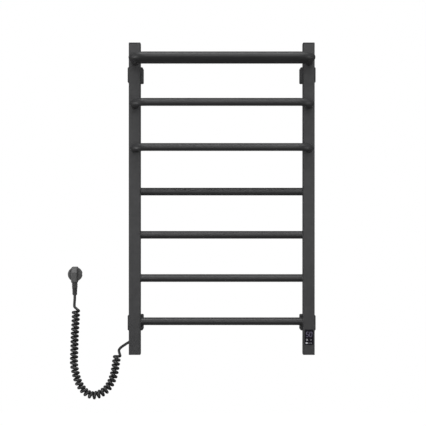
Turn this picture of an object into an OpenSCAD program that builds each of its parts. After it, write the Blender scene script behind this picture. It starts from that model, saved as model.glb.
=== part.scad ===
// Electric towel warmer rack. Two square posts carry four straight rungs, two rungs that
// bow towards the room and a shelf of three tubes. Four telescopic stand-offs hold it to
// the wall, a touch control sits in the right post and a curly mains cord hangs at the left.
// The origin is on the wall, at the centre of the four wall screws. +Z is up, the wall is
// the plane Y = 0 and the room is towards -Y.

/* [Frame] */
// Length of each post without its end caps
post_len = 800; // [790:1:840]
// Side of the square post tube
post_w = 30; // [30:0.5:32]
// Wall thickness of the post tube
post_wall = 1.5; // [1.2:0.1:1.6]
// Radius of the post's long edges
post_edge_r = 2; // [2:0.1:3]
// Distance between the centres of the two posts
post_pitch = 450; // [440:1:500]
// Distance from the wall to the back of the posts
wall_gap = 40; // [40:0.5:44]

/* [Rungs and shelf] */
// Diameter of every round tube
rung_d = 20; // [19:0.5:22]
// Wall thickness of every round tube
rung_wall = 1.2; // [1:0.1:1.5]
// Height of the lowest rung's centre
first_level_z = -317.5; // [-320:0.5:-315]
// Height from one level to the next
level_pitch = 112; // [110:1:114]
// How far the lower bowed rung stands in front of the posts
bow_lower_reach = 50; // [46:1:60]
// How far the upper bowed rung stands in front of the posts
bow_upper_reach = 75; // [62:1:85]
// How far the shelf's front tube stands in front of the posts
shelf_reach = 110; // [104:1:130]
// How far the shelf's middle tube stands in front of the posts
shelf_middle_reach = 70; // [65:1:72]
// How far the shelf's rear tube stands in front of the posts
shelf_rear_reach = 30; // [28:1:35]
// Centreline radius of the bends in the bowed tubes
bow_bend_r = 35; // [33:0.5:40]
// Radius of the cable holes that the tubes cover in the posts
cable_hole_r = 8; // [7.5:0.1:8.2]

/* [End caps] */
// Thickness of the plate of an end cap
cap_h = 3; // [2:0.5:4]
// Depth of the cap's socket inside the post
cap_insert = 10; // [6:0.5:10]

/* [Stand-offs] */
// Height of the stand-off centres above and below the middle
standoff_z = 323; // [321:0.5:325]
// Side of the square sleeve behind the post
sleeve_w = 40; // [40:0.5:42]
// Wall thickness of the sleeve
sleeve_wall = 3.4; // [3:0.1:3.5]
// Radius of the sleeve's edges
sleeve_edge_r = 3; // [2.4:0.1:5]
// Free air between the sleeve and the wall when it is pushed right in
sleeve_back_gap = 1; // [0.5:0.1:2]
// Clearance between the sleeve and the wall base inside it, on each side
slide_gap = 0.2; // [0.1:0.05:0.4]
// Depth of the wall base
base_len = 24; // [22:0.5:26]
// Radius of the hole for a wall screw
wall_screw_r = 3.25; // [2.5:0.05:3.5]

/* [Display] */
// Width of the display's front glass
glass_w = 22.5; // [22:0.5:26]
// Height of the display's front glass
glass_h = 39; // [37:0.5:40]
// Thickness of the display's front glass
glass_t = 1.2; // [0.8:0.1:1.6]
// Height of the display's centre
display_z = -357; // [-358:0.5:-356]

/* [Cord] */
// Diameter of the mains cord
cord_d = 7; // [5:0.5:7]
// Outer diameter of the curly stretch
coil_d = 22; // [20:0.5:22]

/* [Hidden] */
$fn = 64;

left = -1;
right = 1;
bottom = -1;
top = 1;

// Frame
post_x = post_pitch / 2;
post_rear_y = -wall_gap;
post_front_y = post_rear_y - post_w;
post_mid_y = post_rear_y - post_w / 2;
post_inner = post_w - 2 * post_wall;
rung_r = rung_d / 2;
rung_bore_r = rung_r - rung_wall;
// Levels 1 to 4 are straight, 5 and 6 are bowed and 7 is the shelf
level_z = [for (i = [0:6]) first_level_z + i * level_pitch];
straight_levels = [0:3];
first_bow = 4;
shelf_level = 6;
bowed_levels = [first_bow:shelf_level];
bow_y = [post_front_y - bow_lower_reach, post_front_y - bow_upper_reach, post_front_y - shelf_reach];
shelf_middle_y = post_front_y - shelf_middle_reach;
shelf_rear_y = post_front_y - shelf_rear_reach;
weld_gap = 0.02;
cap_fit = 0.2;
cut = 1;

// Stand-offs
sleeve_plate = 4;
sleeve_rear_y = -sleeve_back_gap;
sleeve_bore = sleeve_w - 2 * sleeve_wall;
base_w = sleeve_bore - 2 * slide_gap;
base_wall = 3;
base_plate = 4;
inner_edge_r = 2;
sleeve_screw_dz = 10;
sleeve_screw_r = 2.5;
sleeve_screw_head_r = 4.2;
sleeve_screw_head_h = 3;
sleeve_screw_tip_y = post_rear_y - 8;
rivet_nut_r = 3.5;
rivet_nut_len = 5.5;
rivet_nut_lip_r = 5;
rivet_nut_lip_h = 0.8;
grub_y = -8;
grub_r = 2.5;
grub_gap = 0.1;

// Cord exit and gland. The cord leaves to the lower left, behind the post, and its first
// stretch follows these [x, z] points in the plane y = cord_y.
cord_y = -20;
cord_r = cord_d / 2;
lead_gland_route = [
    [-242, -375], [-248, -378.5], [-254, -382.5], [-260, -386.5], [-265, -390.5], [-268.5, -395],
    [-269.5, -399], [-269.5, -405]
];
cord_exit = [lead_gland_route[0][0], cord_y, lead_gland_route[0][1]];
exit_step = lead_gland_route[0] - lead_gland_route[1];
exit_tilt = atan2(exit_step[1], exit_step[0]);
gland_body_r = 7;
gland_reach = 26.5;
gland_x = cord_exit[0] + gland_reach * cos(exit_tilt);
gland_z = cord_exit[2] + gland_reach * sin(exit_tilt);
gland_front_y = -11;
gland_flange_r = 8.5;
gland_flange_h = 3;
gland_thread_r = 5.9;
gland_hole_r = 6;
gland_tail_y = post_rear_y - 4.5;
gland_relief_tip_r = 4.3;
gland_relief_root_r = 5.2;
locknut_r = 7.3;
locknut_h = 2.8;

// Centre line of the curly stretch and of the lead up to the plug, as [x, z]
coil_route = [
    [-273.5, -405], [-273.5, -411], [-276, -424], [-279, -445], [-284, -466], [-292, -485], [-304, -501],
    [-319, -511], [-335, -515], [-350, -511], [-364, -499], [-376, -479], [-383, -455], [-387, -431],
    [-386, -394], [-385, -358], [-383, -325], [-382, -296], [-382, -290]
];
lead_plug_route = [
    [-386, -290], [-386, -284], [-386, -276], [-385.5, -268], [-385, -260], [-385, -252]
];
tube_sides = 12;

// Plug
plug_x = -385;
plug_z = -198;
plug_face_y = -2;
plug_disc_r = 19;
plug_disc_y = -17;
plug_grip_w = 16;
plug_grip_top_z = -178;
plug_grip_low_z = -219;
plug_grip_y = -38;
plug_neck_low_z = -234;
plug_neck_w = 14;
plug_neck_front_y = -29;
plug_neck_rear_y = -11;
plug_relief_low_z = -252;
plug_relief_top_r = 6.8;
plug_relief_low_r = 6.2;
pin_r = 2.4;
pin_len = 19;
pin_pitch = 19;
clip_w = 4.6;
clip_t = 1.2;
clip_y = -13;

// Control in the lower end of the right post
glass_y = post_front_y - glass_t;
window_w = 19;
window_h = 34;
holder_w = 22;
holder_h = 38;
holder_open_w = 15;
holder_open_h = 30;
board_y = post_mid_y - 7;
board_t = 1.6;
board_w = 23;
board_top_z = display_z + 23;
board_low_z = display_z - 29;
digits_h = 14;
digits_w = 14.4;
digits_z = display_z + 7.5;
front_clear = 0.2;
touch_x = 5;
touch_z = display_z - 7;
terminal_top_z = display_z + 22;

// Wires. Each runs up or down the middle of a post and turns into a tube with a round bend.
wire_r = 2.5;
wire_bend_r = 10;
pair_dz = 4;
mains_x = 219;
heat_x = 229;
turn_x = post_x - wire_bend_r;
turn_y = post_mid_y - wire_bend_r;
end_seal_len = 16;

metal_grey = [0.2, 0.2, 0.21];
inner_grey = [0.16, 0.16, 0.17];
plastic_black = [0.09, 0.09, 0.1];
zinc = [0.7, 0.7, 0.72];

// ---- Shared shapes ----

module rounded_rect(w, h, r) {
    square([w - 2 * r, h], center = true);
    square([w, h - 2 * r], center = true);
    for (x = [-1, 1], z = [-1, 1])
        translate([x * (w / 2 - r), z * (h / 2 - r)]) circle(r = r);
}

// A flat outline in X and Z, given depth along Y from y_front to y_rear
module slab_y(y_front, y_rear) {
    translate([0, y_rear, 0])
        rotate([90, 0, 0])
            linear_extrude(height = y_rear - y_front)
                children();
}

// A round rod along Y
module rod_y(r, y_front, y_rear) {
    translate([0, y_rear, 0])
        rotate([90, 0, 0])
            cylinder(r = r, h = y_rear - y_front);
}

module ring_outline(outer_r, inner_r) {
    difference() {
        circle(r = outer_r);
        if (inner_r > 0) circle(r = inner_r);
    }
}

// A quarter bend from +X to +Y about the origin, in the XY plane
module quarter_bend(bend_r, outer_r, inner_r) {
    rotate_extrude(angle = 90)
        translate([bend_r, 0])
            ring_outline(outer_r, inner_r);
}

module place_standoff(side, end) {
    translate([side * post_x, 0, end * standoff_z]) children();
}

// ---- Posts ----

module post_tube() {
    linear_extrude(height = post_len, center = true)
        difference() {
            rounded_rect(post_w, post_w, post_edge_r);
            rounded_rect(post_inner, post_inner, post_edge_r - post_wall);
        }
}

module post_with_holes(side) {
    difference() {
        translate([side * post_x, post_mid_y, 0]) post_tube();
        for (i = straight_levels)
            translate([side * (post_x - post_w / 2), post_mid_y, level_z[i]])
                rotate([0, 90, 0])
                    cylinder(r = cable_hole_r, h = 3 * post_wall, center = true);
        for (i = bowed_levels)
            translate([side * post_x, 0, level_z[i]])
                rod_y(cable_hole_r, post_front_y - cut, post_front_y + post_wall + cut);
        for (end = [bottom, top], dz = [-sleeve_screw_dz, sleeve_screw_dz])
            translate([side * post_x, 0, end * standoff_z + dz])
                rod_y(rivet_nut_r, post_rear_y - post_wall - cut, post_rear_y + cut);
    }
}

module post_left() {
    color(metal_grey)
        difference() {
            post_with_holes(left);
            translate([gland_x, 0, gland_z])
                rod_y(gland_hole_r, post_rear_y - post_wall - cut, post_rear_y + cut);
        }
}

module post_right() {
    color(metal_grey)
        difference() {
            post_with_holes(right);
            translate([post_x, 0, display_z])
                slab_y(post_front_y - cut, post_front_y + post_wall + cut)
                    rounded_rect(window_w, window_h, 1);
        }
}

module end_cap(side, end) {
    socket_w = post_inner - 2 * cap_fit;
    color(plastic_black)
        translate([side * post_x, post_mid_y, end * post_len / 2])
            mirror([0, 0, end == bottom ? 1 : 0]) {
                linear_extrude(height = cap_h) rounded_rect(post_w, post_w, post_edge_r);
                translate([0, 0, -cap_insert])
                    linear_extrude(height = cap_insert)
                        difference() {
                            square(socket_w, center = true);
                            square(socket_w - 2 * post_wall, center = true);
                        }
            }
}

// ---- Rungs and shelf ----

module rung(level) {
    color(metal_grey)
        translate([0, post_mid_y, level_z[level]])
            rotate([0, 90, 0])
                linear_extrude(height = post_pitch - post_w, center = true)
                    ring_outline(rung_r, rung_bore_r);
}

// The line of a bowed tube: a leg from start_y, a bend, the cross run, a bend and a leg
module bow_line(start_y, run_y, outer_r, inner_r) {
    bend_y = run_y + bow_bend_r;
    bend_x = post_x - bow_bend_r;
    for (side = [left, right]) {
        translate([side * post_x, start_y, 0])
            rotate([90, 0, 0])
                linear_extrude(height = start_y - bend_y)
                    ring_outline(outer_r, inner_r);
        mirror([side == left ? 1 : 0, 0, 0])
            translate([bend_x, bend_y, 0])
                mirror([0, 1, 0])
                    quarter_bend(bow_bend_r, outer_r, inner_r);
    }
    translate([0, run_y, 0])
        rotate([0, 90, 0])
            linear_extrude(height = 2 * bend_x, center = true)
                ring_outline(outer_r, inner_r);
}

module bowed_rung(level) {
    color(metal_grey)
        translate([0, 0, level_z[level]])
            bow_line(post_front_y, bow_y[level - first_bow], rung_r, rung_bore_r);
}

// A straight tube between the shelf's legs, its ends coped to fit round them
module shelf_cross_tube(run_y) {
    color(metal_grey)
        translate([0, run_y, level_z[shelf_level]])
            difference() {
                rotate([0, 90, 0])
                    linear_extrude(height = post_pitch, center = true)
                        ring_outline(rung_r, rung_bore_r);
                translate([0, -run_y, 0]) bow_line(post_front_y, bow_y[2], rung_r + weld_gap, 0);
            }
}

// ---- Stand-offs ----

module standoff_sleeve(side, end) {
    color(metal_grey)
        place_standoff(side, end)
            difference() {
                slab_y(post_rear_y, sleeve_rear_y) rounded_rect(sleeve_w, sleeve_w, sleeve_edge_r);
                slab_y(post_rear_y + sleeve_plate, 0) rounded_rect(sleeve_bore, sleeve_bore, inner_edge_r);
                for (dz = [-sleeve_screw_dz, sleeve_screw_dz])
                    translate([0, 0, dz])
                        rod_y(sleeve_screw_r + 0.2, post_rear_y - cut, post_rear_y + sleeve_plate + cut);
                translate([0, grub_y, -sleeve_w / 2 - cut])
                    cylinder(r = grub_r, h = sleeve_wall + 2 * cut);
            }
}

module wall_base(side, end) {
    color(inner_grey)
        place_standoff(side, end)
            difference() {
                slab_y(-base_len, 0) rounded_rect(base_w, base_w, inner_edge_r);
                slab_y(-base_len - cut, -base_plate)
                    rounded_rect(base_w - 2 * base_wall, base_w - 2 * base_wall, 1);
                rod_y(wall_screw_r, -base_plate - cut, cut);
            }
}

module each_sleeve_screw() {
    for (side = [left, right], end = [bottom, top], dz = [-sleeve_screw_dz, sleeve_screw_dz])
        translate([side * post_x, 0, end * standoff_z + dz]) children();
}

module sleeve_screws() {
    head_y = post_rear_y + sleeve_plate;
    color(zinc)
        each_sleeve_screw()
            difference() {
                union() {
                    rod_y(sleeve_screw_head_r, head_y, head_y + sleeve_screw_head_h);
                    rod_y(sleeve_screw_r, sleeve_screw_tip_y, head_y);
                }
                translate([0, head_y + sleeve_screw_head_h + cut, 0])
                    rotate([90, 0, 0])
                        cylinder(r = 1.7, h = 2 + cut, $fn = 6);
            }
}

module rivet_nuts() {
    inner_y = post_rear_y - post_wall;
    color(zinc)
        each_sleeve_screw()
            difference() {
                union() {
                    rod_y(rivet_nut_r - 0.05, inner_y, post_rear_y);
                    rod_y(rivet_nut_lip_r, inner_y - rivet_nut_lip_h, inner_y);
                    rod_y(rivet_nut_r, inner_y - rivet_nut_len, inner_y);
                }
                rod_y(sleeve_screw_r + 0.05, inner_y - rivet_nut_len - cut, cut);
            }
}

module grub_screws() {
    tip_z = -base_w / 2 - grub_gap;
    end_z = -sleeve_w / 2 + grub_gap;
    color(zinc)
        for (side = [left, right], end = [bottom, top])
            place_standoff(side, end)
                translate([0, grub_y, end_z])
                    difference() {
                        cylinder(r = grub_r - 0.05, h = tip_z - end_z);
                        translate([0, 0, -cut]) cylinder(r = 1.4, h = 1.6 + cut, $fn = 6);
                    }
}

// ---- Cord, its gland and its plug ----

// A tube through a route's points in the plane y = cord_y, with flat ends square to it
function route_dir(route, i) =
    let (a = route[max(i - 1, 0)], b = route[min(i + 1, len(route) - 1)], d = b - a)
    d / norm(d);

function tube_points(route, r) = [
    for (i = [0:len(route) - 1], k = [0:tube_sides - 1])
        let (d = route_dir(route, i), turn = 360 * k / tube_sides, side = r * cos(turn))
        [route[i][0] - side * d[1], cord_y + r * sin(turn), route[i][1] + side * d[0]]
];

function tube_faces(rings) = concat(
    [[for (k = [0:tube_sides - 1]) k]],
    [for (i = [0:rings - 2], k = [0:tube_sides - 1])
        let (next = (k + 1) % tube_sides, a = i * tube_sides, b = a + tube_sides)
        [a + k, b + k, b + next, a + next]],
    [[for (k = [tube_sides - 1:-1:0]) (rings - 1) * tube_sides + k]]
);

module cord_tube(route, r) {
    polyhedron(points = tube_points(route, r), faces = tube_faces(len(route)), convexity = 6);
}

module cord_lead_gland() {
    color(plastic_black) cord_tube(lead_gland_route, cord_r);
}

module cord_coil() {
    color(plastic_black) cord_tube(coil_route, coil_d / 2);
}

module cord_lead_plug() {
    color(plastic_black) cord_tube(lead_plug_route, cord_r);
}

module cable_gland() {
    color(plastic_black)
        translate([gland_x, 0, gland_z]) {
            rod_y(gland_flange_r, post_rear_y, post_rear_y + gland_flange_h);
            rod_y(gland_body_r, post_rear_y, gland_front_y);
            rod_y(gland_thread_r, gland_tail_y, post_rear_y);
        }
}

module gland_locknut() {
    inner_y = post_rear_y - post_wall;
    color(plastic_black)
        translate([gland_x, inner_y, gland_z])
            difference() {
                rotate([90, 0, 0]) cylinder(r = locknut_r, h = locknut_h, $fn = 6);
                rod_y(gland_thread_r + 0.05, -locknut_h - cut, cut);
            }
}

module gland_strain_relief() {
    color(plastic_black)
        difference() {
            translate(cord_exit)
                rotate([0, 90 - exit_tilt, 0])
                    cylinder(r1 = gland_relief_tip_r, r2 = gland_relief_root_r, h = gland_reach);
            translate([gland_x, 0, gland_z]) rod_y(gland_body_r + weld_gap, post_rear_y, 0);
        }
}

module plug_body() {
    grip_h = plug_grip_top_z - plug_grip_low_z;
    color(plastic_black)
        translate([plug_x, 0, 0])
            difference() {
                union() {
                    translate([0, 0, plug_z]) rod_y(plug_disc_r, plug_disc_y, plug_face_y);
                    translate([0, 0, plug_grip_low_z + grip_h / 2])
                        slab_y(plug_grip_y, plug_face_y - 4) rounded_rect(plug_grip_w, grip_h, 2);
                    slab_y(plug_neck_front_y, plug_neck_rear_y)
                        polygon([
                            [-plug_grip_w / 2 + 1, plug_grip_low_z + 3],
                            [-plug_neck_w / 2, plug_neck_low_z],
                            [plug_neck_w / 2, plug_neck_low_z],
                            [plug_grip_w / 2 - 1, plug_grip_low_z + 3]
                        ]);
                }
                for (side = [-1, 1])
                    translate([-clip_w / 2, clip_y, plug_z + side * plug_disc_r - clip_t])
                        cube([clip_w, plug_face_y - clip_y + cut, 2 * clip_t]);
            }
}

module plug_strain_relief() {
    color(plastic_black)
        translate([plug_x, cord_y, plug_relief_low_z])
            cylinder(r1 = plug_relief_low_r, r2 = plug_relief_top_r, h = plug_neck_low_z - plug_relief_low_z);
}

module plug_pins() {
    color(zinc)
        for (side = [-1, 1])
            translate([plug_x + side * pin_pitch / 2, plug_face_y, plug_z])
                rotate([-90, 0, 0]) {
                    cylinder(r = pin_r, h = pin_len - pin_r);
                    translate([0, 0, pin_len - pin_r]) sphere(r = pin_r);
                }
}

module plug_earth_clips() {
    color(zinc)
        for (side = [-1, 1])
            translate([plug_x - clip_w / 2 + 0.1, clip_y, plug_z + side * (plug_disc_r - clip_t / 2) - clip_t / 2])
                cube([clip_w - 0.2, plug_face_y - clip_y, clip_t]);
}

// ---- Control ----

module display_glass() {
    color([0.03, 0.03, 0.06])
        translate([post_x, 0, display_z])
            slab_y(glass_y, post_front_y) rounded_rect(glass_w, glass_h, 1.5);
}

module display_holder() {
    color(plastic_black)
        translate([post_x, 0, display_z])
            difference() {
                union() {
                    slab_y(post_front_y + post_wall, board_y) rounded_rect(holder_w, holder_h, 1);
                    slab_y(post_front_y, post_front_y + post_wall)
                        rounded_rect(window_w - cap_fit, window_h - cap_fit, 1);
                }
                slab_y(post_front_y - cut, board_y + cut) square([holder_open_w, holder_open_h], center = true);
            }
}

module digit_module() {
    color([0.1, 0.1, 0.12])
        translate([post_x, 0, digits_z])
            slab_y(post_front_y + front_clear, board_y) square([digits_w, digits_h], center = true);
}

module touch_springs() {
    color(zinc)
        for (side = [-1, 1])
            translate([post_x + side * touch_x, 0, touch_z])
                difference() {
                    rod_y(2.2, post_front_y + front_clear, board_y);
                    rod_y(1.5, post_front_y, board_y + cut);
                }
}

module control_board() {
    color([0.05, 0.3, 0.15])
        translate([post_x - board_w / 2, board_y, board_low_z])
            cube([board_w, board_t, board_top_z - board_low_z]);
}

module relay() {
    color([0.1, 0.15, 0.35])
        translate([post_x - 7.5, board_y + board_t, board_low_z + 14])
            cube([15, 10, 20]);
}

module terminal_block() {
    color([0.1, 0.45, 0.2])
        translate([post_x - 10.5, board_y + board_t, terminal_top_z - 12])
            cube([21, 10.8, 12]);
}

module temperature_sensor() {
    color(plastic_black)
        translate([post_x + 9.5, post_mid_y + 2, terminal_top_z]) {
            cylinder(r = 0.8, h = 40);
            translate([0, 0, 35]) cylinder(r = 1.8, h = 12);
        }
}

module earth_terminal() {
    inner_y = post_rear_y - post_wall;
    color(zinc)
        translate([-post_x - 6, 0, gland_z + 12]) {
            rod_y(4, inner_y - 1, inner_y);
            rod_y(2, inner_y - 6, inner_y);
            translate([0, inner_y - 1, 0]) rotate([90, 0, 0]) cylinder(r = 3.6, h = 3, $fn = 6);
        }
}

// ---- Wires ----

module wire_run_z(side, x, z_low, z_high) {
    translate([side * x, post_mid_y, z_low]) cylinder(r = wire_r, h = z_high - z_low);
}

// A bend between a post's upright wire at x and a level wire at z, inside the post.
// way is 1 where the upright wire is below the level one and -1 where it is above.
module wire_turn_in(side, x, z, way) {
    translate([side * (x - wire_bend_r), post_mid_y, z - way * wire_bend_r])
        mirror([side == left ? 1 : 0, 0, 0])
            mirror([0, 0, way == -1 ? 1 : 0])
                rotate([90, 0, 0])
                    quarter_bend(wire_bend_r, wire_r, 0);
}

// The same bend, towards the room
module wire_turn_out(side, z, way) {
    translate([side * post_x, turn_y, z - way * wire_bend_r])
        mirror([0, 0, way == -1 ? 1 : 0])
            rotate([90, 0, 90])
                quarter_bend(wire_bend_r, wire_r, 0);
}

module wire_level(z, x_left, x_right) {
    translate([-x_left, post_mid_y, z])
        rotate([0, 90, 0])
            cylinder(r = wire_r, h = x_left + x_right);
}

// The mains wires cross from the gland to the control through the lowest rung
module mains_wires() {
    z = level_z[0] - pair_dz;
    gland_turn_r = gland_tail_y - post_mid_y;
    color([0.3, 0.3, 0.3]) {
        translate([gland_x, gland_tail_y, gland_z + gland_turn_r])
            mirror([0, 0, 1])
                rotate([90, 0, 90])
                    mirror([1, 0, 0])
                        quarter_bend(gland_turn_r, wire_r, 0);
        wire_run_z(left, -gland_x, gland_z + gland_turn_r, z - wire_bend_r);
        wire_turn_in(left, -gland_x, z, 1);
        wire_level(z, -gland_x - wire_bend_r, mains_x - wire_bend_r);
        wire_turn_in(right, mains_x, z, 1);
        wire_run_z(right, mains_x, terminal_top_z, z - wire_bend_r);
    }
}

// One heating cable goes back and forth up the rack, one level after another
module heating_cable() {
    color([0.55, 0.2, 0.15]) {
        wire_run_z(right, heat_x, terminal_top_z, level_z[0] + pair_dz - wire_bend_r);
        wire_turn_in(right, heat_x, level_z[0] + pair_dz, 1);
        wire_level(level_z[0] + pair_dz, turn_x, heat_x - wire_bend_r);
        wire_turn_in(left, post_x, level_z[0] + pair_dz, -1);
        wire_run_z(left, post_x, level_z[0] + pair_dz + wire_bend_r, level_z[1] - wire_bend_r);
        for (i = [1:3]) {
            from = i % 2 == 1 ? left : right;
            wire_turn_in(from, post_x, level_z[i], 1);
            wire_level(level_z[i], turn_x, turn_x);
            wire_turn_in(-from, post_x, level_z[i], -1);
            wire_run_z(-from, post_x, level_z[i] + wire_bend_r, level_z[i + 1] - wire_bend_r);
        }
        for (i = bowed_levels) {
            from = i % 2 == 1 ? left : right;
            wire_turn_out(from, level_z[i], 1);
            translate([0, 0, level_z[i]]) bow_line(turn_y, bow_y[i - first_bow], wire_r, 0);
            wire_turn_out(-from, level_z[i], -1);
            if (i < shelf_level) wire_run_z(-from, post_x, level_z[i] + wire_bend_r, level_z[i + 1] - wire_bend_r);
        }
    }
}

module heating_end_seal() {
    color([0.5, 0.5, 0.52])
        translate([left * post_x, post_mid_y, level_z[shelf_level] + wire_bend_r])
            cylinder(r = wire_r + 1, h = end_seal_len);
}

post_left();
post_right();
rung(0);  // rung_1
rung(1);  // rung_2
rung(2);  // rung_3
rung(3);  // rung_4
bowed_rung(4);  // bowed_rung_lower
bowed_rung(5);  // bowed_rung_upper
bowed_rung(6);  // shelf_front_tube
shelf_cross_tube(shelf_middle_y);  // shelf_middle_tube
shelf_cross_tube(shelf_rear_y);  // shelf_rear_tube
end_cap(left, top);  // end_cap_left_top
end_cap(left, bottom);  // end_cap_left_bottom
end_cap(right, top);  // end_cap_right_top
end_cap(right, bottom);  // end_cap_right_bottom
standoff_sleeve(left, top);  // sleeve_left_top
standoff_sleeve(left, bottom);  // sleeve_left_bottom
standoff_sleeve(right, top);  // sleeve_right_top
standoff_sleeve(right, bottom);  // sleeve_right_bottom
wall_base(left, top);  // wall_base_left_top
wall_base(left, bottom);  // wall_base_left_bottom
wall_base(right, top);  // wall_base_right_top
wall_base(right, bottom);  // wall_base_right_bottom
sleeve_screws();
rivet_nuts();
grub_screws();
cable_gland();
gland_locknut();
gland_strain_relief();
cord_lead_gland();
cord_coil();
cord_lead_plug();
plug_strain_relief();
plug_body();
plug_pins();
plug_earth_clips();
display_glass();
display_holder();
digit_module();
touch_springs();
control_board();
relay();
terminal_block();
mains_wires();
heating_cable();
heating_end_seal();
temperature_sensor();
earth_terminal();
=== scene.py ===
import math

import bmesh
import bpy
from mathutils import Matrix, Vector


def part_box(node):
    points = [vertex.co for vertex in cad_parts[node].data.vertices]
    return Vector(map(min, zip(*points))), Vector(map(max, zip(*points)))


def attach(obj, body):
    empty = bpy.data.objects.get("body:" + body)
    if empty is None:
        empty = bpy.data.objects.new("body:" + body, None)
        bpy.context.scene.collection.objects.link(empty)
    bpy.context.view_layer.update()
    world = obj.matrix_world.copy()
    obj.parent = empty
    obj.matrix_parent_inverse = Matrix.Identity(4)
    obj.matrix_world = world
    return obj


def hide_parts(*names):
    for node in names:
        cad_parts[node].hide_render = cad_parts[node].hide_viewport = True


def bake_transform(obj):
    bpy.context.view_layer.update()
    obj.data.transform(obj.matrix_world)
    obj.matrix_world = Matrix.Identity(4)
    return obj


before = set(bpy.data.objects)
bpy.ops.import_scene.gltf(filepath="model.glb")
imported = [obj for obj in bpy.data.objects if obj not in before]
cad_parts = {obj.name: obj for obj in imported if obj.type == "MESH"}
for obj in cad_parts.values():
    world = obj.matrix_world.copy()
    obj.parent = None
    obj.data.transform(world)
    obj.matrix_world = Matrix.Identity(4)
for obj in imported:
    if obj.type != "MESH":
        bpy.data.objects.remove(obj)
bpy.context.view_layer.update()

# Looks of the wall-mounted towel warmer. Shapes are worked out in millimetres in the frame of
# the part: +Z is up, the wall is the plane y = 0 and the room is towards -y.
MM = 0.001
SHARP_ANGLE = math.radians(38)

scene = bpy.context.scene


# ---- Camera ----

# The place is in metres, the lens and the sensor in millimetres
CAMERA_PLACE = (-0.0225, -3.055, -0.0369)
CAMERA_LENS = 97.8
CAMERA_SENSOR = 36


def make_camera():
    """A level camera that looks straight at the wall."""
    camera = bpy.data.objects.new("camera", bpy.data.cameras.new("camera"))
    camera.data.lens = CAMERA_LENS
    camera.data.sensor_width = CAMERA_SENSOR
    camera.data.clip_end = 100
    camera.location = CAMERA_PLACE
    camera.rotation_euler = (math.radians(90), 0, 0)
    scene.collection.objects.link(camera)
    scene.camera = camera


make_camera()


# ---- Outlines, rings and lines ----

def box_mm(node):
    """Lowest and highest corner of a CAD node, in millimetres."""
    low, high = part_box(node)
    return low / MM, high / MM


def middle_of(low, high):
    """x, y and z of the middle of a box."""
    return tuple((a + b) / 2 for a, b in zip(low, high))


def rounded_rect(width, height, radius, steps=6):
    """Outline of a rounded rectangle about the origin, as (u, v) points."""
    points = []
    for side_u, side_v, start in ((1, 1, 0), (-1, 1, 90), (-1, -1, 180), (1, -1, 270)):
        for k in range(steps + 1):
            angle = math.radians(start + 90 * k / steps)
            points.append((
                side_u * (width / 2 - radius) + radius * math.cos(angle),
                side_v * (height / 2 - radius) + radius * math.sin(angle),
            ))
    return points


def square(width, inset, corner):
    """Outline of a square with round corners, drawn in by inset on every side."""
    return rounded_rect(width - 2 * inset, width - 2 * inset, corner)


def circle(radius, sides=48, waves=0, depth=0.0):
    """Outline of a circle, with that many waves cut to that depth into its rim."""
    points = []
    for k in range(sides):
        angle = 2 * math.pi * k / sides
        r = radius - depth * (0.5 - 0.5 * math.cos(waves * angle))
        points.append((r * math.cos(angle), r * math.sin(angle)))
    return points


def at_y(outline, x, y, z):
    """An outline in the XZ plane at y, about (x, z)."""
    return [Vector((x + u, y, z + v)) for u, v in outline]


def at_z(outline, x, y, z):
    """An outline in the XY plane at z, about (x, y)."""
    return [Vector((x + u, y + v, z)) for u, v in outline]


def turned(profile, origin, axis, sides=48, waves=0, depth=0.0):
    """Rings of a turned shape. profile lists (distance along the axis, radius)."""
    turn = Vector(axis).to_track_quat("Z", "Y")
    origin = Vector(origin)
    return [
        [origin + turn @ Vector((u, v, distance)) for u, v in circle(radius, sides, waves, depth)]
        for distance, radius in profile
    ]


def swept(line, radius_at, sides=14, closed=False):
    """Rings of a round tube along a line. radius_at gives the radius at each point's number."""
    count = len(line)
    tangents = []
    for i in range(count):
        before = line[i - 1] if i > 0 or closed else line[i]
        after = line[(i + 1) % count] if i < count - 1 or closed else line[i]
        tangents.append((after - before).normalized())
    normal = tangents[0].orthogonal().normalized()
    rings = []
    for i in range(count):
        normal = (normal - tangents[i] * normal.dot(tangents[i])).normalized()
        other = tangents[i].cross(normal)
        rings.append([
            line[i] + normal * u + other * v for u, v in circle(radius_at(i), sides)
        ])
    return rings


def smooth_line(points, steps):
    """A Catmull-Rom curve through the points, with that many steps between each two."""
    ends = [2 * points[0] - points[1], *points, 2 * points[-1] - points[-2]]
    line = []
    for i in range(len(points) - 1):
        a, b, c, d = ends[i:i + 4]
        for k in range(steps):
            t = k / steps
            line.append(0.5 * (
                2 * b + (c - a) * t + (2 * a - 5 * b + 4 * c - d) * t ** 2
                + (3 * b - a - 3 * c + d) * t ** 3
            ))
    return [*line, points[-1]]


def line_length(line):
    """Length of a line of points."""
    return sum((b - a).length for a, b in zip(line, line[1:]))


def even_line(line, count, skip_start=0.0, skip_end=0.0):
    """count + 1 points at even distances on a line, less a length at its start and its end."""
    reached = [0.0]
    for a, b in zip(line, line[1:]):
        reached.append(reached[-1] + (b - a).length)
    kept = reached[-1] - skip_start - skip_end
    out = []
    i = 0
    for k in range(count + 1):
        wanted = skip_start + kept * k / count
        while i < len(line) - 2 and reached[i + 1] < wanted:
            i += 1
        share = (wanted - reached[i]) / max(reached[i + 1] - reached[i], 1e-9)
        out.append(line[i].lerp(line[i + 1], min(share, 1.0)))
    return out


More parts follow.
